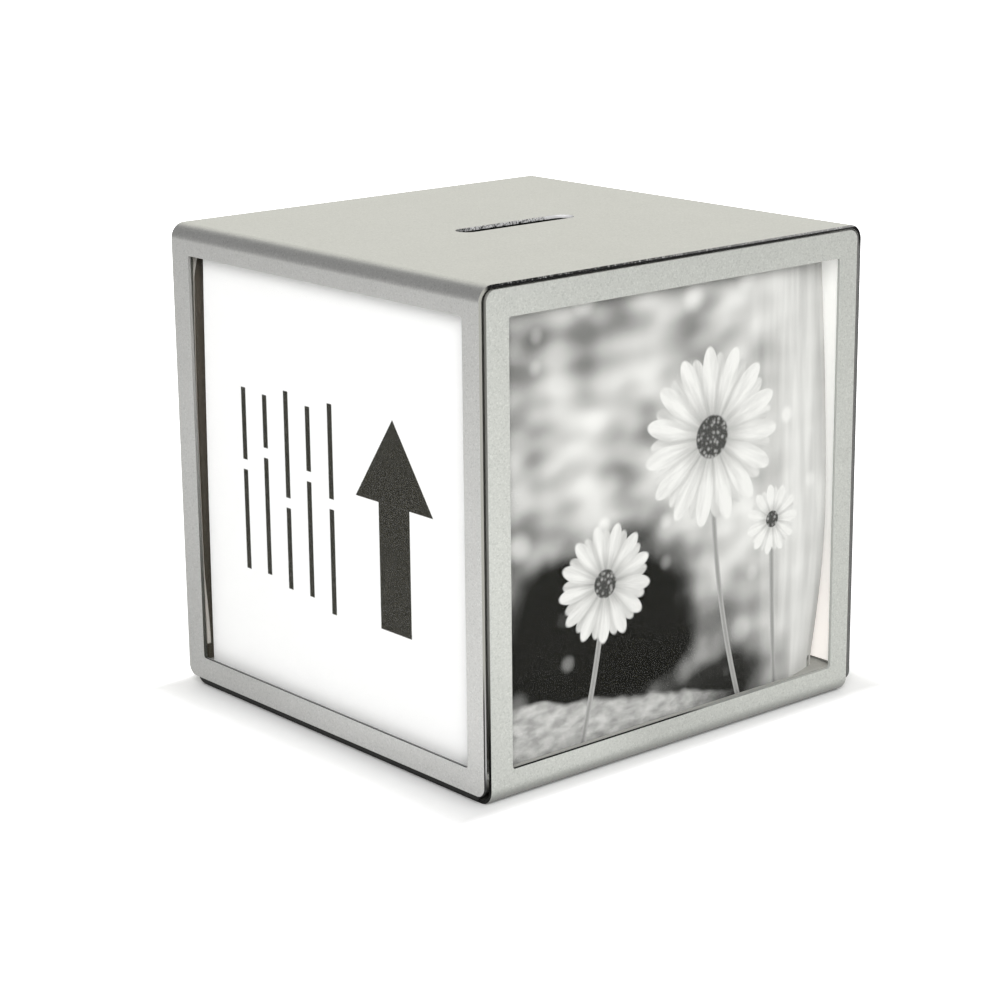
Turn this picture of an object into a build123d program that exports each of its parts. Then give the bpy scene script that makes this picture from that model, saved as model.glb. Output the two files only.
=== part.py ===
from build123d import *
import os

os.makedirs("parts", exist_ok=True)

# A photo cube that is also a coin bank, in millimetres.
# +Z is up. The origin is on the table, in the middle of the cube.
# The upper shell is a strip bent over the top and down the left and right sides (-X and +X).
# The lower shell is a strip bent under the bottom and up the front and back (-Y and +Y).

# ---- Driving dimensions ----

# Sheet metal of both shells
sheet = 0.7                  # thickness
bend_radius = 3.0            # outer radius of every bend
free_corner = 2.1            # rounding of the strips' free corners
window_corner = 0.5          # rounding of the windows' corners

# Upper shell
cube_width = 95.4            # X, over the left and right walls
cube_depth = 92.6            # Y, the upper strip's width
cube_height = 94.0           # Z, table to the top face
wall_lift = 2.05             # the side walls end this far above the table
side_frame_front = 4.55      # strip's front edge to the left and right windows
side_frame_back = 5.45       # strip's back edge to the left and right windows
side_frame_low = 4.65        # wall's lower edge to the left and right windows
side_frame_top = 5.75        # top face to the left and right windows
slot_length = 28.6           # coin slot, along X
slot_width = 4.6
slot_shift = 0.35            # slot's centre from the cube's centre, along X
slot_forward = 0.4           # slot's centre from the cube's centre, towards the front

# Lower shell
left_play = 1.0              # its strip's left edge to the upper shell's left wall
right_play = 0.25            # its strip's right edge to the upper shell's right wall
top_seam = 0.25              # its walls' free edges to the underside of the top sheet
end_frame_left = 5.1         # strip's left edge to the front and back windows
end_frame_right = 4.75       # strip's right edge to the front and back windows
end_frame_top = 5.15         # free edge to the front and back windows
end_frame_low = 6.05         # table to the front and back windows

# Coin box
box_wall = 1.5               # side walls and floor
box_corner = 2.0             # rounding of its upright corners
box_rim_gap = 0.05           # rim to the underside of the top sheet
groove_width = 3.4           # groove round its foot that holds the covers and prints
groove_foot = 4.5            # groove's floor above the coin box's own underside
lip_height = 0.8             # lip outside the groove, above the groove's floor
lip_wall = 0.8
lip_gap = 0.25               # lip to the shells' walls

# Cover sheets, all four alike
cover_sheet = 0.45           # thickness
cover_gap = 0.05             # cover to the groove's lip
cover_end_gap = 2.05         # ends of the left and right covers to the front and back ones
cover_top_gap = 3.6          # upper edge to the underside of the top sheet
front_cover_shift = 1.6      # along X
back_cover_shift = -2.4      # along X
left_cover_shift = -0.4      # along Y
right_cover_shift = -1.2     # along Y

# Prints, all four alike, and their centres' places along their walls
print_sheet = 0.25           # thickness
print_gap = 0.05             # print to its cover
print_drop = 0.5             # covers stand this much taller
print_trim = 1.0             # covers are this much wider
front_print_shift = 0.95     # along X
back_print_shift = -3.5      # along X
left_card_shift = -0.4       # along Y
right_print_shift = -2.4     # along Y

# ---- Sizes that follow ----

side_inner = cube_width / 2 - sheet              # inner face of the left and right walls
end_inner = cube_depth / 2 - sheet               # inner face of the front and back walls
ceiling = cube_height - sheet                    # underside of the top sheet
inner_bend = bend_radius - sheet

lower_strip = 2 * side_inner - left_play - right_play
lower_shift = (left_play - right_play) / 2       # lower strip's centre along X
end_wall_top = ceiling - top_seam                # free edges of the front and back walls

side_window_width = cube_depth - side_frame_front - side_frame_back
side_window_shift = (side_frame_front - side_frame_back) / 2
side_window_low = wall_lift + side_frame_low
side_window_height = cube_height - side_frame_top - side_window_low
end_window_width = lower_strip - end_frame_left - end_frame_right
end_window_shift = (end_frame_left - end_frame_right) / 2
end_window_height = end_wall_top - end_frame_top - end_frame_low

lip_outer_x = side_inner - lip_gap
lip_outer_y = end_inner - lip_gap
lip_inner_x = lip_outer_x - lip_wall
lip_inner_y = lip_outer_y - lip_wall
box_outer_x = lip_inner_x - groove_width
box_outer_y = lip_inner_y - groove_width
groove_floor = sheet + groove_foot
box_rim = ceiling - box_rim_gap

cover_width = 2 * (lip_inner_y - cover_gap - cover_sheet - cover_end_gap)
cover_height = ceiling - cover_top_gap - groove_floor
print_width = cover_width - print_trim
print_height = cover_height - print_drop

FLOOR = (Align.CENTER, Align.CENTER, Align.MIN)  # centred, standing on its own z = 0


def bent_strip(span, strip, rise):
    """A strip bent up at both ends: its web lies on z = 0 and its walls stand at x = +-span/2."""
    outside = Box(span, strip, rise, align=FLOOR)
    outside = fillet(outside.edges().filter_by(Axis.Y).group_by(Axis.Z)[0], bend_radius)
    inside = Box(span - 2 * sheet, strip, rise, align=FLOOR)
    inside = fillet(inside.edges().filter_by(Axis.Y).group_by(Axis.Z)[0], inner_bend)
    channel = outside - Pos(0, 0, sheet) * inside
    return fillet(channel.edges().filter_by(Axis.X).group_by(Axis.Z)[-1], free_corner)


def window_cutter(span, width, height):
    """A block that cuts a window through both walls of a strip of this span."""
    cutter = Box(span + 2 * sheet, width, height, align=FLOOR)
    return fillet(cutter.edges().filter_by(Axis.X), window_corner)


def upper_shell():
    """The top sheet with its coin slot and the left and right walls."""
    strip = bent_strip(cube_width, cube_depth, cube_height - wall_lift)
    shell = Pos(0, 0, cube_height) * Rot(180, 0, 0) * strip
    cutter = window_cutter(cube_width, side_window_width, side_window_height)
    shell -= Pos(0, side_window_shift, side_window_low) * cutter
    slot = extrude(SlotOverall(slot_length, slot_width), amount=2 * sheet, both=True)
    return shell - Pos(slot_shift, -slot_forward, ceiling) * slot


def lower_shell():
    """The bottom sheet and the front and back walls."""
    strip = bent_strip(cube_depth, lower_strip, end_wall_top)
    cutter = window_cutter(cube_depth, end_window_width, end_window_height)
    strip -= Pos(0, -end_window_shift, end_frame_low) * cutter
    return Pos(lower_shift, 0, 0) * Rot(0, 0, 90) * strip


def coin_box():
    """An open box on a wider hollow foot, with a lipped groove all round between the two."""
    foot_height = groove_foot + lip_height
    foot = Box(2 * lip_outer_x, 2 * lip_outer_y, foot_height, align=FLOOR)
    foot = fillet(foot.edges().filter_by(Axis.Z), box_corner)
    # The foot is sloped along the front and back to clear the lower shell's bends.
    sloped = Box(2 * lip_outer_x, 2 * lip_outer_y, foot_height, align=FLOOR)
    sloped = chamfer(sloped.edges().filter_by(Axis.X).group_by(Axis.Z)[0], inner_bend)
    hollow_x = 2 * (lip_outer_x - box_wall)
    hollow_y = 2 * (lip_outer_y - box_wall)
    hollow = Box(hollow_x, hollow_y, groove_foot - box_wall, align=FLOOR)
    groove = Box(2 * lip_inner_x, 2 * lip_inner_y, lip_height, align=FLOOR)
    groove = fillet(groove.edges().filter_by(Axis.Z), box_corner - lip_wall)
    body = Box(2 * box_outer_x, 2 * box_outer_y, box_rim - sheet, align=FLOOR)
    body = fillet(body.edges().filter_by(Axis.Z), box_corner)
    cavity_x = 2 * (box_outer_x - box_wall)
    cavity_y = 2 * (box_outer_y - box_wall)
    cavity = Box(cavity_x, cavity_y, box_rim, align=FLOOR)
    cavity = fillet(cavity.edges().filter_by(Axis.Z), box_corner - box_wall)
    ring = (foot & sloped) - hollow - Pos(0, 0, groove_foot) * groove
    return Pos(0, 0, sheet) * (ring + body - Pos(0, 0, box_wall) * cavity)


def standing_sheet(width, height, thickness, reach, shift, turn):
    """An upright sheet in the groove. Its outer face is this reach from the cube's centre
    line, towards -Y before the turn, and its middle is shifted along X before the turn."""
    panel = Box(width, thickness, height, align=(Align.CENTER, Align.MIN, Align.MIN))
    return Rot(0, 0, turn) * Pos(shift, -reach, groove_floor) * panel


def cover(lip_inner, shift, turn):
    """A clear sheet just inside the groove's lip."""
    reach = lip_inner - cover_gap
    return standing_sheet(cover_width, cover_height, cover_sheet, reach, shift, turn)


def insert(lip_inner, shift, turn):
    """A print or card just behind its cover."""
    reach = lip_inner - cover_gap - cover_sheet - print_gap
    return standing_sheet(print_width, print_height, print_sheet, reach, shift, turn)


# Turning by -90 degrees takes -Y to -X and +X to -Y; by 90 it takes -Y to +X and +X to +Y.
nodes = {
    "upper_shell": upper_shell(),
    "lower_shell": lower_shell(),
    "coin_box": coin_box(),
    "front_cover_sheet": cover(lip_inner_y, front_cover_shift, 0),
    "back_cover_sheet": cover(lip_inner_y, -back_cover_shift, 180),
    "left_cover_sheet": cover(lip_inner_x, -left_cover_shift, -90),
    "right_cover_sheet": cover(lip_inner_x, right_cover_shift, 90),
    "front_photo_print": insert(lip_inner_y, front_print_shift, 0),
    "back_photo_print": insert(lip_inner_y, -back_print_shift, 180),
    "left_title_card": insert(lip_inner_x, -left_card_shift, -90),
    "right_photo_print": insert(lip_inner_x, right_print_shift, 90),
}

for name, solid in nodes.items():
    export_step(solid, f"parts/{name}.step")
    box = solid.bounding_box()
    print(f"{name}: x {box.min.X:.2f} {box.max.X:.2f}  y {box.min.Y:.2f} {box.max.Y:.2f}"
          f"  z {box.min.Z:.2f} {box.max.Z:.2f}  volume {solid.volume:.0f}")
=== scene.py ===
from math import radians

import bpy
from mathutils import Matrix, Vector


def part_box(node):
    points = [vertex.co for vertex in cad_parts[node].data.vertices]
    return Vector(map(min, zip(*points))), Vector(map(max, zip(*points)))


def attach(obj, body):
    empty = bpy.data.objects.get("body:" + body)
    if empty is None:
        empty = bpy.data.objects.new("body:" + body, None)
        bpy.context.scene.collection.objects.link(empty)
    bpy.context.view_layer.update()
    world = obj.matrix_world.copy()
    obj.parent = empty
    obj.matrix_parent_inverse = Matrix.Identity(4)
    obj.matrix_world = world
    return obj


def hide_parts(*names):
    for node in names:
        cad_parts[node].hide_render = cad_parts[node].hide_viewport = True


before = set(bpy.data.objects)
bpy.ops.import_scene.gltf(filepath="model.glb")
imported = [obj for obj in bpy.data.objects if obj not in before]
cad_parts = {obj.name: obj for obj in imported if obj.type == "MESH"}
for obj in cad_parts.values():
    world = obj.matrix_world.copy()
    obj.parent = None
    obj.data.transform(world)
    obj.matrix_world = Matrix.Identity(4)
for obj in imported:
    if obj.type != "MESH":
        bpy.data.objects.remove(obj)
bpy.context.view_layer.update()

mm = 0.001

# ---------------------------------------------------------------- sizes, in mm


def outline(node):
    """The node's lowest and highest corners in mm."""
    return [[round(value / mm, 3) for value in corner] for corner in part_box(node)]


upper_low, upper_high = outline("upper_shell")
lower_low, lower_high = outline("lower_shell")
half_width, half_depth, top = upper_high

# Both shells' sheet
sheet = 0.7                  # thickness
bend = 3.0                   # outer radius of every bend
free_corner = 2.1            # rounding of the strips' free corners
window_corner = 0.5          # rounding of the windows' corners
soft_edge = 0.1              # wear along the cut edges
bend_steps = 16              # facets round a bend
corner_steps = 12            # facets round a free corner and the slot's ends
window_steps = 4             # facets round a window's corner

# Metal round the upper shell's windows, in its left and right walls
side_frame_front = 4.55
side_frame_back = 5.45
side_frame_low = 4.65
side_frame_top = 5.75

# Metal round the lower shell's windows, in its front and back walls
end_frame_left = 5.1
end_frame_right = 4.75
end_frame_low = 6.05
end_frame_top = 5.15
window_cutter = 60           # half the length of a window's cutter, past both walls

# Coin slot along X
slot_length = 28.6
slot_width = 4.6
slot_shift = 0.35            # its centre, to the right
slot_forward = 0.4           # its centre, towards the front
slot_cutter_low = 4          # how far the slot's cutter reaches below the top face
slot_cutter_high = 3         # and above it
slot_end_play = 0.005        # keeps the rounding of its ends just short of a half circle

# Coin box and paper
groove_and_lip = 4.2         # how far the coin box's foot stands out past its body
paper_sheet = 0.22           # thickness of the prints and the card

black = (0.0, 0.0, 0.0)
white = (1.0, 1.0, 1.0)

# ---------------------------------------------------------------- camera

camera_place = (-0.32256, -0.37471, 0.17362)  # in metres
camera_turn = -40.37         # degrees from facing +Y, positive to the left
camera_dip = 15.24           # degrees below level
camera_roll = -0.58

camera_data = bpy.data.cameras.new("camera")
camera_data.lens = 93.336
camera_data.sensor_width = 36
camera = bpy.data.objects.new("camera", camera_data)
bpy.context.scene.collection.objects.link(camera)
camera.matrix_world = (
    Matrix.Translation(camera_place)
    @ Matrix.Rotation(radians(camera_turn), 4, "Z")
    @ Matrix.Rotation(radians(90 - camera_dip), 4, "X")
    @ Matrix.Rotation(radians(camera_roll), 4, "Z")
)
bpy.context.scene.camera = camera
bpy.context.scene.view_settings.view_transform = "Standard"

# ---------------------------------------------------------------- material making


def add(tree, kind, **settings):
    """A new node in the tree, with its settings."""
    made = tree.nodes.new(kind)
    for key, value in settings.items():
        setattr(made, key, value)
    return made


def put(node, **values):
    """Sets a node's inputs by name, with _ for a space."""
    for key, value in values.items():
        node.inputs[key.replace("_", " ")].default_value = value
    return node


def feed(tree, node, values):
    """Links or sets a node's inputs, given as {input: socket, number or colour}."""
    for key, value in values.items():
        if hasattr(value, "node"):
            tree.links.new(value, node.inputs[key])
        elif isinstance(value, tuple) and len(value) == 3 and node.inputs[key].type == "RGBA":
            node.inputs[key].default_value = (*value, 1)
        else:
            node.inputs[key].default_value = value


def new_material(name):
    """A new material, its node tree and its main shader."""
    material = bpy.data.materials.new(name)
    material.use_nodes = True
    tree = material.node_tree
    return material, tree, tree.nodes["Principled BSDF"]


def place(tree):
    """Where a point lies on the object, in metres."""
    return add(tree, "ShaderNodeTexCoord").outputs["Object"]


def in_mm(tree):
    """The same place as x, y and z in millimetres."""
    scaled = add(tree, "ShaderNodeVectorMath", operation="SCALE")
    feed(tree, scaled, {0: place(tree), "Scale": 1 / mm})
    split = add(tree, "ShaderNodeSeparateXYZ")
    feed(tree, split, {0: scaled.outputs[0]})
    return split.outputs[0], split.outputs[1], split.outputs[2]


def calc(tree, operation, a, b=0.0, c=0.0):
    """One step of arithmetic on sockets or numbers."""
    made = add(tree, "ShaderNodeMath", operation=operation)
    feed(tree, made, {0: a, 1: b, 2: c})
    return made.outputs[0]


def unsigned(tree, value):
    """The value without its sign."""
    return calc(tree, "ABSOLUTE", value)


def apart(tree, value, middle):
    """How far the value is from this middle, on either side."""
    return unsigned(tree, calc(tree, "SUBTRACT", value, middle))


def ramp(tree, value, low, high, start=0.0, end=1.0):
    """Maps low..high smoothly to start..end and holds the ends."""
    made = add(tree, "ShaderNodeMapRange", interpolation_type="SMOOTHSTEP")
    feed(tree, made, {"Value": value, "From Min": low, "From Max": high, "To Min": start, "To Max": end})
    return made.outputs["Result"]


def stretched(tree, where, x=1.0, y=1.0, z=1.0, shift=(0, 0, 0)):
    """The place with each axis divided by its own length."""
    made = add(tree, "ShaderNodeMapping")
    feed(tree, made, {"Vector": where, "Location": shift, "Scale": (1 / x, 1 / y, 1 / z)})
    return made.outputs[0]


def noise(tree, where, size, detail=2.0, roughness=0.5):
    """Soft noise from 0 to 1, with spots of about this size in the place's own unit."""
    made = add(tree, "ShaderNodeTexNoise")
    feed(tree, made, {"Vector": where, "Scale": 1 / size, "Detail": detail, "Roughness": roughness})
    return made.outputs["Fac"]


def mix(tree, factor, a, b, blend="MIX"):
    """Mixes two colours, each a socket or an (r, g, b)."""
    made = add(tree, "ShaderNodeMix", data_type="RGBA", blend_type=blend)
    feed(tree, made, {0: factor, 6: a, 7: b})
    return made.outputs[2]


def grey(tree, level, dark, light):
    """A colour between dark and light, also beyond them."""
    made = add(tree, "ShaderNodeMix", data_type="RGBA", clamp_factor=False)
    feed(tree, made, {0: level, 6: dark, 7: light})
    return made.outputs[2]


def laid_over(tree, level, mask, tone):
    """The level with another laid over it where the mask is 1."""
    return calc(tree, "MULTIPLY_ADD", mask, calc(tree, "SUBTRACT", tone, level), level)


def bumped(tree, shader, height, strength, depth):
    """Gives the shader a fine relief."""
    made = add(tree, "ShaderNodeBump")
    feed(tree, made, {"Height": height, "Strength": strength, "Distance": depth})
    tree.links.new(made.outputs[0], shader.inputs["Normal"])


# ---------------------------------------------------------------- table, room and lamp


def seen_glow(tree, level, x_past, y_past):
    """The table's glow to the camera: the plain glow, and more past the cube's shadow."""
    level = calc(tree, "ADD", level, ramp(tree, y_past, 2.0, 5.0, 0.0, 0.4))
    return calc(tree, "ADD", level, ramp(tree, x_past, 6.0, 14.0, 0.0, 0.35))


def dimmed_glow(tree, level, x, y):
    """The table's glow in reflections: the plain glow, dimmer at the back left and far in
    front, and in front of the cube growing from left to right."""
    back_left = calc(tree, "ADD", calc(tree, "MULTIPLY_ADD", x, 1.36, y), 65.0)
    back_left = calc(tree, "DIVIDE", back_left, calc(tree, "ADD", unsigned(tree, x), 40.0))
    far_front = calc(tree, "MULTIPLY_ADD", x, 0.3, calc(tree, "MULTIPLY", y, -1.0))
    level = calc(tree, "MULTIPLY", level, ramp(tree, back_left, -0.25, 0.35, 1.0, 0.2))
    level = calc(tree, "MULTIPLY", level, ramp(tree, x, -150.0, -460.0, 1.0, 0.0))
    level = calc(tree, "MULTIPLY", level, ramp(tree, far_front, 250.0, 560.0, 1.0, 0.2))
    rightwards = ramp(tree, x, -60.0, 60.0, 0.6, 1.6)
    rightwards = calc(tree, "ADD", rightwards, ramp(tree, x, 60.0, 200.0, 0.0, 0.5))
    in_front = ramp(tree, y, -44.0, -52.0)
    return calc(tree, "MULTIPLY", level, laid_over(tree, 1.0, in_front, rightwards))


def table_white():
    """Matt white. Its glow starts at the cube's foot, so that the cube's shadow is kept, and
    shows only to the camera, in reflections and through clear plastic."""
    material, tree, shader = new_material("floor_white")
    put(shader, Base_Color=(0.93, 0.93, 0.925, 1), Roughness=0.9, Specular_IOR_Level=0.05)
    x, y, z = in_mm(tree)
    x_past = calc(tree, "SUBTRACT", unsigned(tree, x), half_width)
    y_past = calc(tree, "SUBTRACT", unsigned(tree, y), half_depth)
    level = calc(tree, "MAXIMUM", ramp(tree, x_past, 1.0, 24.0), ramp(tree, y_past, 0.0, 6.5))
    level = calc(tree, "MULTIPLY_ADD", level, 0.5, ramp(tree, y_past, 30.0, 600.0, 0.0, 0.4))
    ray = add(tree, "ShaderNodeLightPath").outputs
    mirrored = dimmed_glow(tree, level, x, y)
    strength = laid_over(tree, mirrored, ray["Is Camera Ray"], seen_glow(tree, level, x_past, y_past))
    glow = put(add(tree, "ShaderNodeEmission"), Color=(1, 1, 1, 1))
    tree.links.new(strength, glow.inputs["Strength"])
    glowing = calc(tree, "MAXIMUM", ray["Is Camera Ray"], ray["Is Glossy Ray"])
    glowing = calc(tree, "MAXIMUM", glowing, ray["Is Transmission Ray"])
    both = add(tree, "ShaderNodeAddShader")
    feed(tree, both, {0: shader.outputs[0], 1: glow.outputs[0]})
    chosen = add(tree, "ShaderNodeMixShader")
    feed(tree, chosen, {0: glowing, 1: shader.outputs[0], 2: both.outputs[0]})
    tree.links.new(chosen.outputs[0], tree.nodes["Material Output"].inputs[0])
    return material


bpy.ops.mesh.primitive_plane_add(size=30, location=(0, 0, -0.02 * mm))
floor = bpy.context.object
floor.name = "floor"
floor.data.materials.append(table_white())


def towards(tree, direction, aim, low, high, amount):
    """This amount around one direction of the room, fading out between two cosines."""
    dot = add(tree, "ShaderNodeVectorMath", operation="DOT_PRODUCT")
    feed(tree, dot, {0: direction, 1: tuple(Vector(aim).normalized())})
    return ramp(tree, dot.outputs["Value"], low, high, 0.0, amount)


def pale_room():
    """Pale all round: bright and a little warm at the back right, which the top reflects,
    a little brighter round the lamp at the front left, and dim at the back left."""
    back_right = (0.63, 0.73, 0.26)
    front_left = (-0.53, -0.66, 0.5)
    back_left = (-0.42, 0.75, 0.5)
    room = bpy.data.worlds.new("room")
    room.use_nodes = True
    tree = room.node_tree
    direction = add(tree, "ShaderNodeTexCoord").outputs["Generated"]
    strength = calc(tree, "ADD", towards(tree, direction, back_right, 0.72, 0.93, 0.64), 0.5)
    strength = calc(tree, "ADD", strength, towards(tree, direction, front_left, 0.3, 0.95, 0.3))
    strength = calc(tree, "SUBTRACT", strength, towards(tree, direction, back_left, 0.72, 0.93, 0.33))
    colour = mix(tree, towards(tree, direction, back_right, 0.72, 0.93, 1.0), (1, 1, 1), (1.0, 1.0, 0.91))
    feed(tree, tree.nodes["Background"], {"Color": colour, "Strength": strength})
    return room


def soft_lamp(name, spot, aim, size, power):
    """A square lamp, in metres and watts, that gives soft light and isn't seen in reflections."""
    lamp = bpy.data.lights.new(name, "AREA")
    lamp.shape = "SQUARE"
    lamp.size = size
    lamp.energy = power
    made = bpy.data.objects.new(name, lamp)
    bpy.context.scene.collection.objects.link(made)
    made.location = spot
    made.visible_glossy = False
    made.rotation_euler = (Vector(aim) - Vector(spot)).to_track_quat("-Z", "Y").to_euler()


bpy.context.scene.world = pale_room()
soft_lamp("key_lamp", (-0.8, -1.0, 0.8), (0, 0, 0.05), 0.72, 16.6)

# ---------------------------------------------------------------- paint and cut metal


def silver_paint(name, tone, painted_shade_height=0.0):
    """Satin silver paint on sheet steel: fine flakes and a faint orange peel. With a painted shade height in
    mm it is painted darker below that height, painted shade where the bend meets the table, and a little
    brighter to the right, painted light; without one it has painted shade low at the back."""
    material, tree, shader = new_material(name)
    where = place(tree)
    grain = noise(tree, where, 0.3 * mm, detail=3.0, roughness=0.7)
    cloud = noise(tree, where, 9 * mm)
    flake = add(tree, "ShaderNodeTexVoronoi")
    feed(tree, flake, {"Vector": where, "Scale": 1 / (0.26 * mm)})
    pick = add(tree, "ShaderNodeSeparateColor")
    tree.links.new(flake.outputs["Color"], pick.inputs[0])
    bright_flake, dark_flake, flake_tilt = pick.outputs[0], pick.outputs[1], pick.outputs[2]
    level = ramp(tree, grain, 0.2, 0.8, 0.89, 1.11)
    level = calc(tree, "MULTIPLY", level, ramp(tree, cloud, 0.2, 0.8, 0.985, 1.015))
    level = calc(tree, "ADD", level, ramp(tree, bright_flake, 0.75, 1.0, 0.0, 0.12))
    level = calc(tree, "SUBTRACT", level, ramp(tree, dark_flake, 0.75, 1.0, 0.0, 0.12))
    x, y, z = in_mm(tree)
    if painted_shade_height:
        # Painted shade: darker low on the foot's bend, towards the table.
        level = calc(tree, "MULTIPLY", level, ramp(tree, z, 0.0, painted_shade_height, 0.42, 1.0))
        # Painted light: a little brighter to the right.
        level = calc(tree, "MULTIPLY", level, ramp(tree, x, -46.0, 46.0, 0.97, 1.04))
    else:
        # Painted shade: darker low towards the back.
        painted_back_shade = calc(tree, "MULTIPLY", ramp(tree, y, -20.0, 46.0), ramp(tree, z, 60.0, 8.0, 0.0, 0.13))
        level = calc(tree, "SUBTRACT", level, painted_back_shade)
    tree.links.new(grey(tree, level, black, tone), shader.inputs["Base Color"])
    tree.links.new(ramp(tree, grain, 0.2, 0.8, 0.3, 0.4), shader.inputs["Roughness"])
    put(shader, Metallic=0.72)
    bumped(tree, shader, calc(tree, "MULTIPLY_ADD", flake_tilt, 0.5, grain), 0.12, 0.02 * mm)
    return material


def cut_metal(name):
    """A sheared sheet edge, still without its colour, and the noise of its breaks."""
    material, tree, shader = new_material(name)
    where = place(tree)
    breaks = noise(tree, where, 0.4 * mm, detail=4.0, roughness=0.75)
    put(shader, Metallic=0.3, Roughness=0.5, Specular_IOR_Level=0.1)
    bumped(tree, shader, noise(tree, where, 0.3 * mm, detail=3.0), 0.5, 0.05 * mm)
    return material, tree, shader, breaks


def left_wall_tone(tree, x, y, z):
    """Down the left wall the cut is pale, but near its foot only on its inner half. The
    window's cut at the back is darker, most of all low down."""
    inner_half = calc(tree, "MULTIPLY", ramp(tree, x, -47.42, -47.3), ramp(tree, z, 4.0, 8.0))
    foot = calc(tree, "MULTIPLY_ADD", inner_half, 0.36, 0.03)
    # Below about 18 to 28 mm the outer half of the cut turns near black.
    low_on_wall = ramp(tree, z, 28.0, 18.0)
    outer = mix(tree, low_on_wall, (0.33, 0.33, 0.30), grey(tree, foot, black, white))
    window_back = half_depth - side_frame_back
    at_window = ramp(tree, y, window_back - 0.85, window_back - 0.35)
    at_window = calc(tree, "MULTIPLY", at_window, ramp(tree, y, window_back + 1.65, window_back + 1.15))
    window = mix(tree, ramp(tree, z, 10.0, 80.0), (0.05, 0.052, 0.045), (0.3, 0.3, 0.29))
    return mix(tree, at_window, outer, window)


def top_sheet_tone(tree, breaks, x, y, z):
    """The top sheet's cut is black below, and above it has bright specks and a painted sheen that grows to
    the right.
    The slot's is silver with black flecks, darker towards its left end, with a painted glint near its right
    end."""
    # Painted sheen: brighter towards the right.
    bright = ramp(tree, x, -30.0, 45.0, 0.0, 0.24)
    bright = calc(tree, "ADD", bright, ramp(tree, breaks, 0.52, 0.66, 0.0, 0.45))
    bright = calc(tree, "MULTIPLY", bright, ramp(tree, z, top - 0.5, top - 0.25))
    rim = grey(tree, bright, (0.004, 0.004, 0.004), (1.0, 1.0, 0.99))
    # Painted glint near the slot's right end.
    shine = calc(tree, "ADD", ramp(tree, breaks, 0.4, 0.56, 0.03, 0.8), ramp(tree, x, 9.0, 12.5, 0.0, 0.9))
    shine = calc(tree, "MULTIPLY", shine, ramp(tree, x, -13.5, -8.0, 0.25, 1.0))
    slot = grey(tree, calc(tree, "MINIMUM", shine, 0.9), black, white)
    return mix(tree, ramp(tree, unsigned(tree, y), 6.0, 5.0), rim, slot)


def upper_cut_edge():
    """The upper shell's cut: one tone round the top sheet and another down each wall."""
    material, tree, shader, breaks = cut_metal("upper_cut_edge")
    x, y, z = in_mm(tree)
    wall = mix(tree, ramp(tree, x, 0.5, -0.5), (0.12, 0.12, 0.118), left_wall_tone(tree, x, y, z))
    # Round the left bend the cut takes the left wall's pale tone: a painted highlight along the bend's edge.
    on_wall = calc(tree, "MAXIMUM", ramp(tree, z, 91.2, 89.0), ramp(tree, x, -45.4, -46.6))
    colour = mix(tree, on_wall, top_sheet_tone(tree, breaks, x, y, z), wall)
    tree.links.new(colour, shader.inputs["Base Color"])
    return material


def lower_cut_edge():
    """The lower shell's cut: grey down the walls, paler at the right, and black with a few specks round the
    bends and the bottom, higher up at the left than at the right: painted shade, for the shadow under the
    left wall and low in the seam."""
    material, tree, shader, breaks = cut_metal("lower_cut_edge")
    x, y, z = in_mm(tree)
    at_right = ramp(tree, x, 0.0, 10.0)
    wall = mix(tree, at_right, (0.3, 0.3, 0.28), (0.42, 0.43, 0.41))
    # Painted shade: near black with a few specks.
    foot = grey(tree, ramp(tree, breaks, 0.6, 0.72, 0.0, 0.1), (0.008, 0.008, 0.008), (1.0, 1.0, 0.98))
    above_foot = mix(tree, at_right, ramp(tree, z, 10.0, 34.0), ramp(tree, z, 4.0, 5.0))
    tree.links.new(mix(tree, above_foot, foot, wall), shader.inputs["Base Color"])
    return material


# ---------------------------------------------------------------- bent sheet shells


def near(a, b, slack=0.01 * mm):
    """Whether two lengths in metres are the same, within a slack."""
    return abs(a - b) < slack


def only(piece):
    """Makes this the one selected and active object."""
    bpy.ops.object.select_all(action="DESELECT")
    piece.select_set(True)
    bpy.context.view_layer.objects.active = piece


def unpick(mesh):
    """Goes to object mode with nothing of the mesh selected."""
    bpy.ops.object.mode_set(mode="OBJECT")
    for part in (mesh.vertices, mesh.edges, mesh.polygons):
        part.foreach_set("select", [False] * len(part))


def pick_faces(mesh, test):
    """Selects just the faces whose centre and normal pass the test, in edit mode."""
    unpick(mesh)
    for face in mesh.polygons:
        face.select = test(face.center, face.normal)
    bpy.context.tool_settings.mesh_select_mode = (False, False, True)
    bpy.ops.object.mode_set(mode="EDIT")


def pick_edges(mesh, test):
    """Selects just the edges whose two ends pass the test, in edit mode."""
    unpick(mesh)
    for edge in mesh.edges:
        edge.select = test(*[mesh.vertices[i].co for i in edge.vertices])
    bpy.context.tool_settings.mesh_select_mode = (False, True, False)
    bpy.ops.object.mode_set(mode="EDIT")


def round_picked(radius, segments):
    """Rounds the picked edges to a radius in mm and leaves edit mode."""
    bpy.ops.mesh.bevel(offset=radius * mm, offset_type="OFFSET", segments=segments, affect="EDGES")
    bpy.ops.object.mode_set(mode="OBJECT")


def block(low, high):
    """A box from its lowest to its highest corner, in mm, with its place in its mesh."""
    bpy.ops.object.select_all(action="DESELECT")
    centre = [(a + b) / 2 * mm for a, b in zip(low, high)]
    span = [(b - a) * mm for a, b in zip(low, high)]
    bpy.ops.mesh.primitive_cube_add(size=1, location=centre, scale=span)
    bpy.ops.object.transform_apply(location=True, rotation=True, scale=True)
    return bpy.context.object


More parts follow.
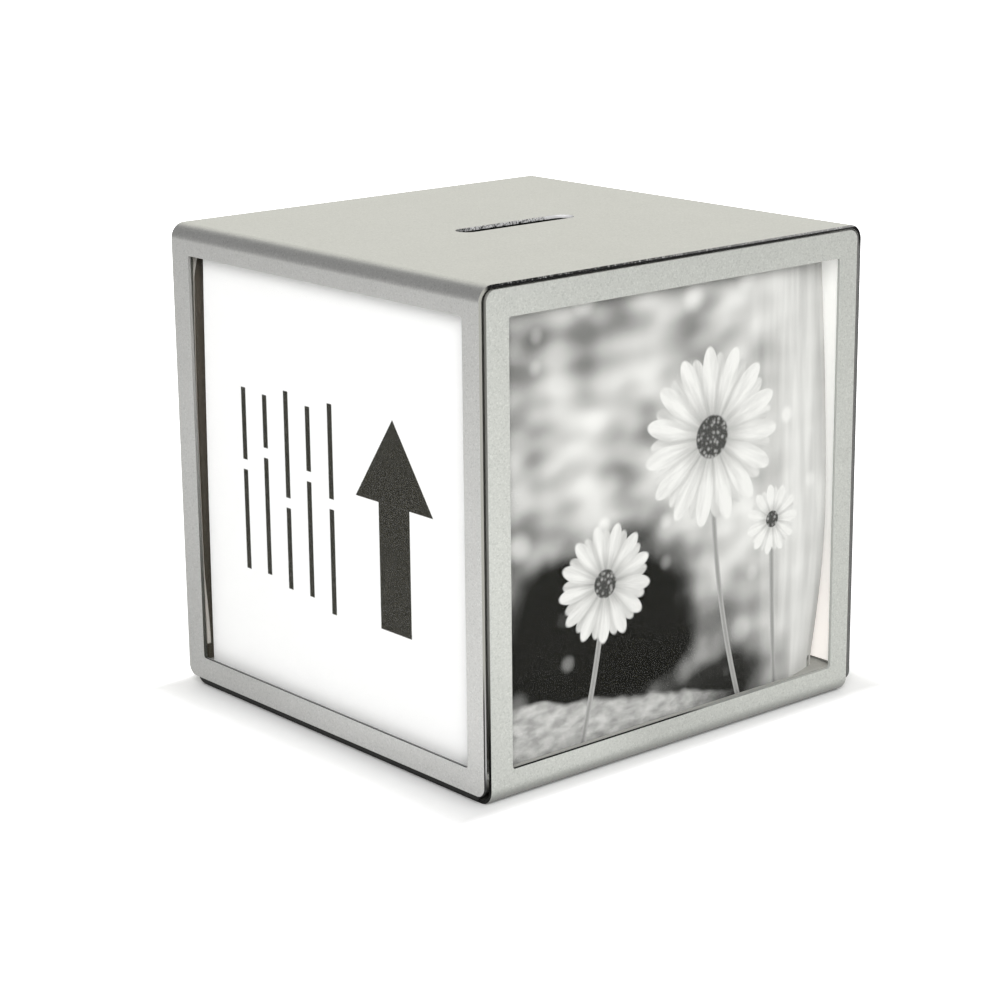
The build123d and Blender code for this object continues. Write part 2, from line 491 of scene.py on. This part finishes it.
def punch(shell, low, high, axis, radius, segments):
    """Cuts a hole through the shell: a block whose edges along the axis are rounded."""
    tool = block(low, high)
    pick_edges(tool.data, lambda a, b: near(abs(a[axis] - b[axis]), (high[axis] - low[axis]) * mm))
    round_picked(radius, segments)
    only(shell)
    cut = shell.modifiers.new("hole", "BOOLEAN")
    cut.operation = "DIFFERENCE"
    cut.solver = "EXACT"
    cut.object = tool
    bpy.ops.object.modifier_apply(modifier="hole")
    bpy.data.objects.remove(tool)


def bent_sheet(name, low, high, thick_axis, web_up):
    """A strip bent into a U in the box from low to high, in mm. Its walls stand across
    thick_axis, and its web is at the top if web_up, otherwise at the bottom."""
    shell = block(low, high)
    shell.name = name
    mesh = shell.data
    open_axis = 1 - thick_axis
    web = (high if web_up else low)[2] * mm
    free = (low if web_up else high)[2] * mm
    pick_faces(mesh, lambda c, n: abs(n[open_axis]) > 0.5 or near(c.z, free))
    bpy.ops.mesh.delete(type="FACE")
    pick_edges(mesh, lambda a, b: near(a.z, web) and near(b.z, web) and near(a[thick_axis], b[thick_axis]))
    round_picked(bend, bend_steps)
    only(shell)
    thicken = shell.modifiers.new("sheet", "SOLIDIFY")
    thicken.thickness = sheet * mm
    thicken.offset = -1
    thicken.use_even_offset = True
    bpy.ops.object.modifier_apply(modifier="sheet")
    pick_edges(mesh, lambda a, b: near(a.z, free) and near(b.z, free)
               and near(abs(a[thick_axis] - b[thick_axis]), sheet * mm))
    round_picked(free_corner, corner_steps)
    return shell


def within_sheet(depth):
    """Whether a depth in metres lies inside the sheet's thickness, clear of both its faces."""
    return 0.05 * mm < depth < (sheet - 0.05) * mm


def mark_cuts(mesh, low, high, thick_axis):
    """Gives the faces across the sheet's thickness the second material."""
    open_axis = 1 - thick_axis
    for face in mesh.polygons:
        centre, normal = face.center, face.normal
        in_wall = min(abs(centre[thick_axis] - low[thick_axis]), abs(centre[thick_axis] - high[thick_axis]))
        in_web = min(abs(centre.z - low.z), abs(centre.z - high.z))
        end = abs(normal[open_axis]) > 0.9
        side = abs(normal[thick_axis]) < 0.1 and within_sheet(in_wall)
        slot = abs(normal.z) < 0.1 and within_sheet(in_web)
        face.material_index = 1 if end or side or slot else 0


def finish_shell(shell, paint, cut, thick_axis, body, node):
    """Marks the cut faces, rounds the sharp edges a little and smooths the shading."""
    only(shell)
    shell.data.materials.append(paint)
    shell.data.materials.append(cut)
    low, high = [Vector(corner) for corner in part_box(node)]
    mark_cuts(shell.data, low, high, thick_axis)
    edge = shell.modifiers.new("soft_edge", "BEVEL")
    edge.width = soft_edge * mm
    edge.segments = 2
    edge.limit_method = "ANGLE"
    edge.angle_limit = radians(50)
    edge.harden_normals = False
    bpy.ops.object.modifier_apply(modifier="soft_edge")
    bpy.ops.object.shade_smooth_by_angle(angle=radians(35))
    flat = shell.modifiers.new("flat_faces", "WEIGHTED_NORMAL")
    flat.weight = 100
    flat.keep_sharp = True
    bpy.ops.object.modifier_apply(modifier="flat_faces")
    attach(shell, body)
    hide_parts(node)


def upper_shell():
    """The strip bent over the top, with a window in each side wall and the coin slot."""
    shell = bent_sheet("upper_shell_sheet", upper_low, upper_high, 0, True)
    window_low = (-window_cutter, -half_depth + side_frame_front, upper_low[2] + side_frame_low)
    window_high = (window_cutter, half_depth - side_frame_back, top - side_frame_top)
    punch(shell, window_low, window_high, 0, window_corner, window_steps)
    slot_low = (slot_shift - slot_length / 2, -slot_forward - slot_width / 2, top - slot_cutter_low)
    slot_high = (slot_shift + slot_length / 2, -slot_forward + slot_width / 2, top + slot_cutter_high)
    punch(shell, slot_low, slot_high, 2, slot_width / 2 - slot_end_play, corner_steps)
    paint = silver_paint("upper_shell_silver", (0.49, 0.49, 0.479))
    finish_shell(shell, paint, upper_cut_edge(), 0, "pull_off_shell", "upper_shell")


def lower_shell():
    """The strip bent under the bottom, with a window in its front and back walls."""
    shell = bent_sheet("lower_shell_sheet", lower_low, lower_high, 1, False)
    window_low = (lower_low[0] + end_frame_left, -window_cutter, end_frame_low)
    window_high = (lower_high[0] - end_frame_right, window_cutter, lower_high[2] - end_frame_top)
    punch(shell, window_low, window_high, 1, window_corner, window_steps)
    paint = silver_paint("lower_shell_silver", (0.49, 0.5, 0.471), 3.7)
    finish_shell(shell, paint, lower_cut_edge(), 1, "standing_cube", "lower_shell")


upper_shell()
lower_shell()

# ---------------------------------------------------------------- coin box and clear covers


def dress(node, material):
    """Gives a carried-over CAD node its material."""
    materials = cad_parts[node].data.materials
    materials.clear()
    materials.append(material)


def coin_box_grey():
    """Dark grey matt plastic, its lip paler, and the outside of its foot painted near black: painted deep
    shade.
    """
    material, tree, shader = new_material("coin_box_grey")
    fine = noise(tree, place(tree), 0.4 * mm, detail=3.0)
    x, y, z = in_mm(tree)
    on_lip = calc(tree, "MULTIPLY", ramp(tree, z, 4.9, 5.15), ramp(tree, z, 7.0, 6.1))
    plain = mix(tree, fine, (0.15, 0.151, 0.137), (0.19, 0.19, 0.173))
    plain = mix(tree, on_lip, plain, (0.36, 0.36, 0.335))
    body_x, body_y = [value - groove_and_lip for value in outline("coin_box")[1][:2]]
    past_body_x = ramp(tree, unsigned(tree, x), body_x + 0.05, body_x + 0.15)
    past_body_y = ramp(tree, unsigned(tree, y), body_y + 0.05, body_y + 0.15)
    # Painted deep shade outside the foot.
    shaded = calc(tree, "MAXIMUM", past_body_x, past_body_y)
    shaded = calc(tree, "MULTIPLY", shaded, ramp(tree, z, 4.6, 3.0))
    tree.links.new(mix(tree, shaded, plain, (0.012, 0.012, 0.011)), shader.inputs["Base Color"])
    put(shader, Specular_IOR_Level=0.2)
    tree.links.new(ramp(tree, fine, 0.3, 0.7, 0.45, 0.6), shader.inputs["Roughness"])
    bumped(tree, shader, fine, 0.2, 0.03 * mm)
    return material


def clear_cover(side, along):
    """Clear plastic, faintly smeared, a little more opaque at its two cut ends along this axis: a painted
    highlight for the light those ends gather.
    """
    node = side + "_cover_sheet"
    low, high = outline(node)
    half = (high[along] - low[along]) / 2
    material, tree, shader = new_material(side + "_cover_clear")
    smear = noise(tree, place(tree), 14 * mm, detail=3.0)
    tree.links.new(ramp(tree, smear, 0.3, 0.7, 0.03, 0.09), shader.inputs["Roughness"])
    tree.links.new(mix(tree, smear, (0.26, 0.27, 0.27), (0.34, 0.35, 0.35)), shader.inputs["Base Color"])
    from_middle = apart(tree, in_mm(tree)[along], (low[along] + high[along]) / 2)
    # Painted highlight: the cut ends are a little more opaque.
    tree.links.new(ramp(tree, from_middle, half - 0.45, half - 0.2, 0.015, 0.04), shader.inputs["Alpha"])
    put(shader, IOR=1.49)
    dress(node, material)


dress("coin_box", coin_box_grey())
clear_cover("front", 0)
clear_cover("back", 0)
clear_cover("left", 1)
clear_cover("right", 1)

# ---------------------------------------------------------------- sheets of paper


def loose_sheet(name, node, shape, face, back):
    """Paper in the place of its CAD node. shape(s, t) bends it: for a place s along the wall
    and t up it, 0 to 1, it gives how far it lies inwards, is slid along and is lifted, in mm."""
    low, high = [Vector(corner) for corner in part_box(node)]
    thin = 0 if high.x - low.x < high.y - low.y else 1
    along = 1 - thin
    outward = -1 if (low + high)[thin] < 0 else 1
    outer = (low if outward < 0 else high)[thin]
    bpy.ops.object.select_all(action="DESELECT")
    bpy.ops.mesh.primitive_grid_add(x_subdivisions=48, y_subdivisions=48, size=1)
    paper = bpy.context.object
    paper.name = name
    for vertex in paper.data.vertices:
        s, t = vertex.co.x + 0.5, vertex.co.y + 0.5
        inward, slide, lift = shape(s, t)
        spot = [0, 0, low.z + t * (high.z - low.z) + lift * mm]
        spot[thin] = outer - outward * inward * mm
        spot[along] = low[along] + s * (high[along] - low[along]) + slide * mm
        vertex.co = spot
    only(paper)
    if paper.data.polygons[0].normal[thin] * outward < 0:
        bpy.ops.object.mode_set(mode="EDIT")
        bpy.ops.mesh.select_all(action="SELECT")
        bpy.ops.mesh.flip_normals()
        bpy.ops.object.mode_set(mode="OBJECT")
    paper.data.materials.append(face)
    paper.data.materials.append(back)
    thick = paper.modifiers.new("paper", "SOLIDIFY")
    thick.thickness = paper_sheet * mm
    thick.offset = -1
    thick.material_offset = 1
    thick.material_offset_rim = 1
    bpy.ops.object.modifier_apply(modifier="paper")
    bpy.ops.object.shade_smooth_by_angle(angle=radians(35))
    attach(paper, "standing_cube")
    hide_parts(node)


def front_bow(s, t):
    """Its right edge springs inwards, least 33 mm above its foot and most at the two corners."""
    least = 0.39
    edge = max(0.0, (s - 0.78) / 0.22) ** 2
    high = 2.5 * max(0.0, (t - least) / 0.583) ** 1.6
    low = 2.9 * max(0.0, (least - t) / 0.35) ** 1.7
    return edge * (0.4 + high + min(low, 3.1)), 0.0, 0.0


def card_skew(s, t):
    """Its far edge was cut a little off square, and its corners curl inwards a little."""
    return 0.25 * (2 * t - 1) ** 2 * (2 * s - 1) ** 2, -1.78 * t * s ** 3, 0.0


def back_bow(s, t):
    """Its left edge springs inwards a little, most at the top corner."""
    edge = max(0.0, (0.2 - s) / 0.2) ** 2
    high = 1.1 * max(0.0, (t - 0.5) / 0.5) ** 2
    low = 0.4 * max(0.0, (0.5 - t) / 0.5) ** 2
    return edge * (high + low), 0.0, 0.0


def right_lift(s, t):
    """Its foot was cut a little short."""
    return 0.0, 0.0, 0.7 * (1 - t) ** 6


# ---------------------------------------------------------------- backs of the prints


def paper_back(name, low_colour, high_colour):
    """The blank back of a print, with its colour at the foot and at the top."""
    material, tree, shader = new_material(name)
    fibre = ramp(tree, noise(tree, place(tree), 0.5 * mm, detail=4.0), 0.2, 0.8, 0.9, 1.05)
    colour = mix(tree, ramp(tree, in_mm(tree)[2], 15.0, 45.0), low_colour, high_colour)
    level = grey(tree, fibre, black, white)
    tree.links.new(mix(tree, 1.0, colour, level, "MULTIPLY"), shader.inputs["Base Color"])
    put(shader, Roughness=0.6)
    return material, tree, shader, colour


def glowing_back():
    """The right print's back glows: an emission, painted light, stands in for daylight through the thin
    print from its face, and its colour and glow are darker at the foot.
    """
    material, tree, shader, colour = paper_back("paper_back_glowing", (0.92, 0.88, 0.84), (0.95, 0.95, 0.92))
    # Painted light: the back glows though it is no lamp.
    tree.links.new(colour, shader.inputs["Emission Color"])
    put(shader, Emission_Strength=0.46)
    return material


def brown_back():
    """The back print's own back is dark brown. Two cream corners at its left edge are painted light,
    standing in for light seen past the print's edge.
    """
    material, tree, shader, colour = paper_back("paper_back_brown", (0.07, 0.06, 0.042), (0.1, 0.085, 0.065))
    x, y, z = in_mm(tree)
    left_edge = outline("back_photo_print")[0][0] + 0.05
    # Painted light: two cream corners at the left edge, at the top and at the foot.
    reach = calc(tree, "MAXIMUM", ramp(tree, z, 83.0, 89.0, 0.0, 1.0), ramp(tree, z, 26.0, 9.0, 0.0, 0.75))
    corner = calc(tree, "SUBTRACT", reach, calc(tree, "SUBTRACT", x, left_edge))
    corner = calc(tree, "MULTIPLY", ramp(tree, corner, -0.1, 0.1), ramp(tree, z, 8.2, 8.6))
    tree.links.new(mix(tree, corner, colour, (0.8, 0.76, 0.7)), shader.inputs["Base Color"])
    return material


# ---------------------------------------------------------------- daisy prints


def far_from(tree, x, z, at_x, at_z, long_x=1.0, long_z=1.0):
    """Distance from a place in the print, with each axis divided by its own length."""
    a = calc(tree, "DIVIDE", calc(tree, "SUBTRACT", x, at_x), long_x)
    b = calc(tree, "DIVIDE", calc(tree, "SUBTRACT", z, at_z), long_z)
    return calc(tree, "SQRT", calc(tree, "MULTIPLY_ADD", a, a, calc(tree, "MULTIPLY", b, b)))


def daisy(tree, level, flat, x, z, spot, bloom):
    """A daisy with two rings of petals round a dark dotted middle."""
    at_x, at_z = spot
    reach, petals, turn, glow = bloom
    far = far_from(tree, x, z, at_x, at_z)
    angle = calc(tree, "ARCTAN2", calc(tree, "SUBTRACT", z, at_z), calc(tree, "SUBTRACT", x, at_x))
    polar = add(tree, "ShaderNodeCombineXYZ")
    feed(tree, polar, {0: calc(tree, "MULTIPLY", angle, 9.0), 1: calc(tree, "MULTIPLY", far, 0.12), 2: at_x})
    veins = noise(tree, polar.outputs[0], 1.0, detail=3.0)
    for ring_turn, size, tone in ((1.3, 0.92, 0.56), (0.0, 1.0, 0.74)):
        wave = calc(tree, "MULTIPLY_ADD", angle, petals / 2, turn + ring_turn)
        wave = calc(tree, "ABSOLUTE", calc(tree, "COSINE", wave))
        swell = calc(tree, "POWER", wave, 0.55)
        tip = calc(tree, "MULTIPLY_ADD", swell, 0.62 * reach * size, 0.36 * reach * size)
        petal = ramp(tree, calc(tree, "SUBTRACT", tip, far), -0.35, 0.35)
        shade = calc(tree, "MULTIPLY_ADD", wave, 0.2, tone + glow)
        shade = calc(tree, "ADD", shade, ramp(tree, veins, 0.25, 0.75, -0.14, 0.1))
        shade = calc(tree, "MULTIPLY", shade, ramp(tree, far, 0.15 * reach, 0.6 * reach, 0.6, 1.0))
        level = laid_over(tree, level, petal, shade)
    dots = add(tree, "ShaderNodeTexVoronoi")
    feed(tree, dots, {"Vector": flat, "Scale": 1.1})
    middle = ramp(tree, dots.outputs["Distance"], 0.1, 0.6, 0.42, 0.08)
    return laid_over(tree, level, ramp(tree, far, 0.25 * reach, 0.22 * reach), middle)


def stem(tree, level, x, z, spot, stalk):
    """A stem from its foot, leaning and curving, up to its flower."""
    foot, lean, curve = stalk
    line = calc(tree, "MULTIPLY_ADD", z, lean, foot)
    line = calc(tree, "MULTIPLY_ADD", calc(tree, "MULTIPLY", z, z), curve, line)
    off = apart(tree, x, line)
    on_stem = calc(tree, "MULTIPLY", ramp(tree, off, 0.75, 0.5), ramp(tree, z, spot[1] + 1.0, spot[1]))
    return laid_over(tree, level, on_stem, calc(tree, "MULTIPLY_ADD", off, 0.3, 0.36))


def leaves(tree, flat, x):
    """Leaves out of focus, in broad soft patches, paler and streaked towards the right."""
    rightwards = ramp(tree, x, 14.0, 34.0)
    level = ramp(tree, noise(tree, flat, 15.0, detail=0.4), 0.25, 0.75, 0.34, 0.86)
    patch = noise(tree, stretched(tree, flat, 8.0, 1.0, 5.0), 1.0, detail=0.0)
    level = calc(tree, "ADD", level, ramp(tree, patch, 0.2, 0.8, -0.2, 0.2))
    level = laid_over(tree, level, calc(tree, "MULTIPLY", rightwards, 0.85), 0.88)
    streak = noise(tree, stretched(tree, flat, 3.0, 1.0, 34.0), 1.0, detail=2.0)
    return calc(tree, "MULTIPLY_ADD", rightwards, ramp(tree, streak, 0.3, 0.7, -0.1, 0.1), level)


def deep_shade(tree, level, flat, x, z):
    """Deep shade under the leaves, low on the left and in a smaller spot at the right."""
    wander = noise(tree, flat, 12.0, detail=1.5)
    shade = calc(tree, "MULTIPLY_ADD", wander, 0.9, far_from(tree, x, z, -20.0, 25.0, 31.0, 19.0))
    level = calc(tree, "MULTIPLY", level, ramp(tree, shade, 1.15, 1.75, 0.0, 1.0))
    shade = calc(tree, "MULTIPLY_ADD", wander, 0.9, far_from(tree, x, z, 12.0, 8.0, 20.0, 9.0))
    return calc(tree, "MULTIPLY", level, ramp(tree, shade, 0.95, 1.7, 0.03, 1.0))


def round_lights(tree, level, flat, size, shift, gain):
    """Round lights out of focus, a cell of this size in mm for each."""
    where = stretched(tree, flat, shift=(shift, 0, shift))
    cell = add(tree, "ShaderNodeTexVoronoi")
    feed(tree, cell, {"Vector": where, "Scale": 1 / size, "Randomness": 0.55})
    lot = add(tree, "ShaderNodeSeparateColor")
    tree.links.new(cell.outputs["Color"], lot.inputs[0])
    rim = calc(tree, "MULTIPLY_ADD", lot.outputs[1], 0.14, 0.16)
    rim = calc(tree, "SUBTRACT", rim, cell.outputs["Distance"])
    chosen = ramp(tree, lot.outputs[0], 0.45, 0.9, 0.0, gain)
    return calc(tree, "ADD", level, calc(tree, "MULTIPLY", ramp(tree, rim, -0.1, 0.08), chosen))


def leafy_bank(tree, level, flat, x, z):
    """A pale bank of leaves along the bottom, with a few blurred blades."""
    slope = calc(tree, "MULTIPLY_ADD", x, -0.17, 6.0)
    bank = calc(tree, "MULTIPLY_ADD", noise(tree, flat, 12.0), 8.0, slope)
    under = ramp(tree, calc(tree, "SUBTRACT", bank, z), -0.7, 0.7)
    blades = noise(tree, stretched(tree, flat, 4.0, 1.0, 2.0), 1.0, detail=4.0)
    on_bank = calc(tree, "MULTIPLY", under, ramp(tree, x, 20.0, 2.0))
    return laid_over(tree, level, on_bank, ramp(tree, blades, 0.25, 0.75, 0.38, 0.78))


def garden_print(name, along_axis, flip, layout, flowers):
    """A black-and-white print: daisies on their stems before a garden out of focus. The
    layout number picks how the garden falls."""
    material, tree, shader = new_material(name)
    axes = in_mm(tree)
    x, z = calc(tree, "MULTIPLY", axes[along_axis], flip), axes[2]
    joined = add(tree, "ShaderNodeCombineXYZ")
    feed(tree, joined, {0: x, 1: layout, 2: z})
    flat = joined.outputs[0]
    level = leaves(tree, flat, x)
    level = deep_shade(tree, level, flat, x, z)
    level = round_lights(tree, level, flat, 14.0, 1.3, 0.34)
    level = round_lights(tree, level, flat, 8.0, 5.2, 0.26)
    level = leafy_bank(tree, level, flat, x, z)
    for spot, bloom, stalk in flowers:
        level = stem(tree, level, x, z, spot, stalk)
    for spot, bloom, stalk in flowers:
        level = daisy(tree, level, flat, x, z, spot, bloom)
    film = noise(tree, flat, 0.35, detail=2.0)
    level = calc(tree, "ADD", level, ramp(tree, film, 0.2, 0.8, -0.02, 0.02))
    tree.links.new(mix(tree, level, (0.002, 0.0018, 0.0), (0.74, 0.74, 0.715)), shader.inputs["Base Color"])
    put(shader, Roughness=0.4, Specular_IOR_Level=0.03)
    return material


# Each flower: its place in mm; its reach in mm, petals, turn and extra brightness; and its
# stem's foot in mm, lean and curve
front_flowers = (
    ((10.5, 58.0), (17.5, 15, 0.4, 0.05), (20.0, -0.34, 0.0031)),
    ((-16.5, 35.0), (11.5, 13, 1.1, 0.0), (-24.0, 0.32, -0.0030)),
    ((27.0, 39.0), (7.0, 11, 0.2, 0.12), (29.0, -0.1, 0.0012)),
)
back_flowers = (
    ((-6.0, 62.0), (15.0, 13, 0.9, 0.05), (2.0, -0.2, 0.0011)),
    ((16.0, 41.0), (12.5, 15, 0.1, 0.02), (11.0, 0.2, -0.0019)),
)
right_flowers = (
    ((14.0, 60.0), (14.0, 14, 0.6, 0.04), (6.0, 0.23, -0.0016)),
    ((-15.0, 47.0), (16.0, 16, 1.4, 0.02), (-8.0, -0.26, 0.0024)),
    ((3.0, 27.0), (8.0, 11, 0.3, 0.05), (-1.0, 0.2, -0.0019)),
)

# ---------------------------------------------------------------- arrow card

ink_spread = 0.06            # half the width, in mm, over which printed ink fades out
arrow_middle = -19.15        # along Y
arrow_tip = 65.92            # height above the table, like the next two
arrow_head_foot = 49.82
arrow_foot = 25.72
arrow_head_slope = 11.28 / 16.12
arrow_shaft_half = 4.5
bar_half = 0.72
bar_break_half = 1.0

# Each row of bars: its middle along Y, and the heights of its top, its break and its foot
bar_rows = (
    (27.1, 64.3, 49.0, 28.0),
    (20.2, 63.9, 52.5, 28.3),
    (13.3, 65.8, 44.0, 26.9),
    (6.5, 64.0, 50.5, 26.9),
    (-0.4, 65.7, 46.5, 25.0),
)


def above(tree, value, edge):
    """1 above a printed edge and 0 below it."""
    return ramp(tree, value, edge - ink_spread, edge + ink_spread)


def below(tree, value, edge):
    """1 below a printed edge and 0 above it."""
    return ramp(tree, value, edge + ink_spread, edge - ink_spread)


def arrow_ink(tree, y, z):
    """Where the arrow is printed: a head that narrows to its tip, on a straight shaft."""
    off = apart(tree, y, arrow_middle)
    head = calc(tree, "MULTIPLY", calc(tree, "SUBTRACT", arrow_tip, z), arrow_head_slope)
    in_head = above(tree, calc(tree, "SUBTRACT", head, off), 0.0)
    in_head = calc(tree, "MULTIPLY", in_head, above(tree, z, arrow_head_foot))
    in_shaft = calc(tree, "MULTIPLY", below(tree, off, arrow_shaft_half), above(tree, z, arrow_foot))
    in_shaft = calc(tree, "MULTIPLY", in_shaft, ramp(tree, z, 50.0, 49.8))
    return calc(tree, "MAXIMUM", in_head, in_shaft)


def bar_ink(tree, y, z, middle, row_top, row_break, row_foot):
    """Where a row's two bars are printed."""
    across = below(tree, apart(tree, y, middle), bar_half)
    length = calc(tree, "MULTIPLY", above(tree, z, row_foot), below(tree, z, row_top))
    clear = above(tree, apart(tree, z, row_break), bar_break_half)
    return calc(tree, "MULTIPLY", calc(tree, "MULTIPLY", across, length), clear)


def card_white():
    """White card with an arrow that points up and five rows of plain bars in black toner."""
    material, tree, shader = new_material("card_white")
    fibre = noise(tree, place(tree), 0.6 * mm, detail=4.0)
    x, y, z = in_mm(tree)
    ink = arrow_ink(tree, y, z)
    for row in bar_rows:
        ink = calc(tree, "MAXIMUM", ink, bar_ink(tree, y, z, *row))
    paper = mix(tree, fibre, (0.94, 0.94, 0.935), (0.97, 0.97, 0.965))
    toner = mix(tree, fibre, (0.016, 0.015, 0.009), (0.024, 0.022, 0.015))
    tree.links.new(mix(tree, ink, paper, toner), shader.inputs["Base Color"])
    tree.links.new(ramp(tree, ink, 0.0, 1.0, 0.55, 0.4), shader.inputs["Roughness"])
    put(shader, Specular_IOR_Level=0.12)
    bumped(tree, shader, fibre, 0.08, 0.02 * mm)
    return material


# ---------------------------------------------------------------- prints and card in their places

white_back = paper_back("paper_back_white", (0.86, 0.83, 0.79), (0.9, 0.9, 0.87))[0]
front_print = garden_print("front_print_daisies", 0, 1.0, 0.0, front_flowers)
back_print = garden_print("back_print_daisies", 0, -1.0, 37.0, back_flowers)
right_print = garden_print("right_print_daisies", 1, 1.0, 71.0, right_flowers)

loose_sheet("front_print_sheet", "front_photo_print", front_bow, front_print, white_back)
loose_sheet("left_card_sheet", "left_title_card", card_skew, card_white(), white_back)
loose_sheet("back_print_sheet", "back_photo_print", back_bow, back_print, brown_back())
loose_sheet("right_print_sheet", "right_photo_print", right_lift, right_print, glowing_back())
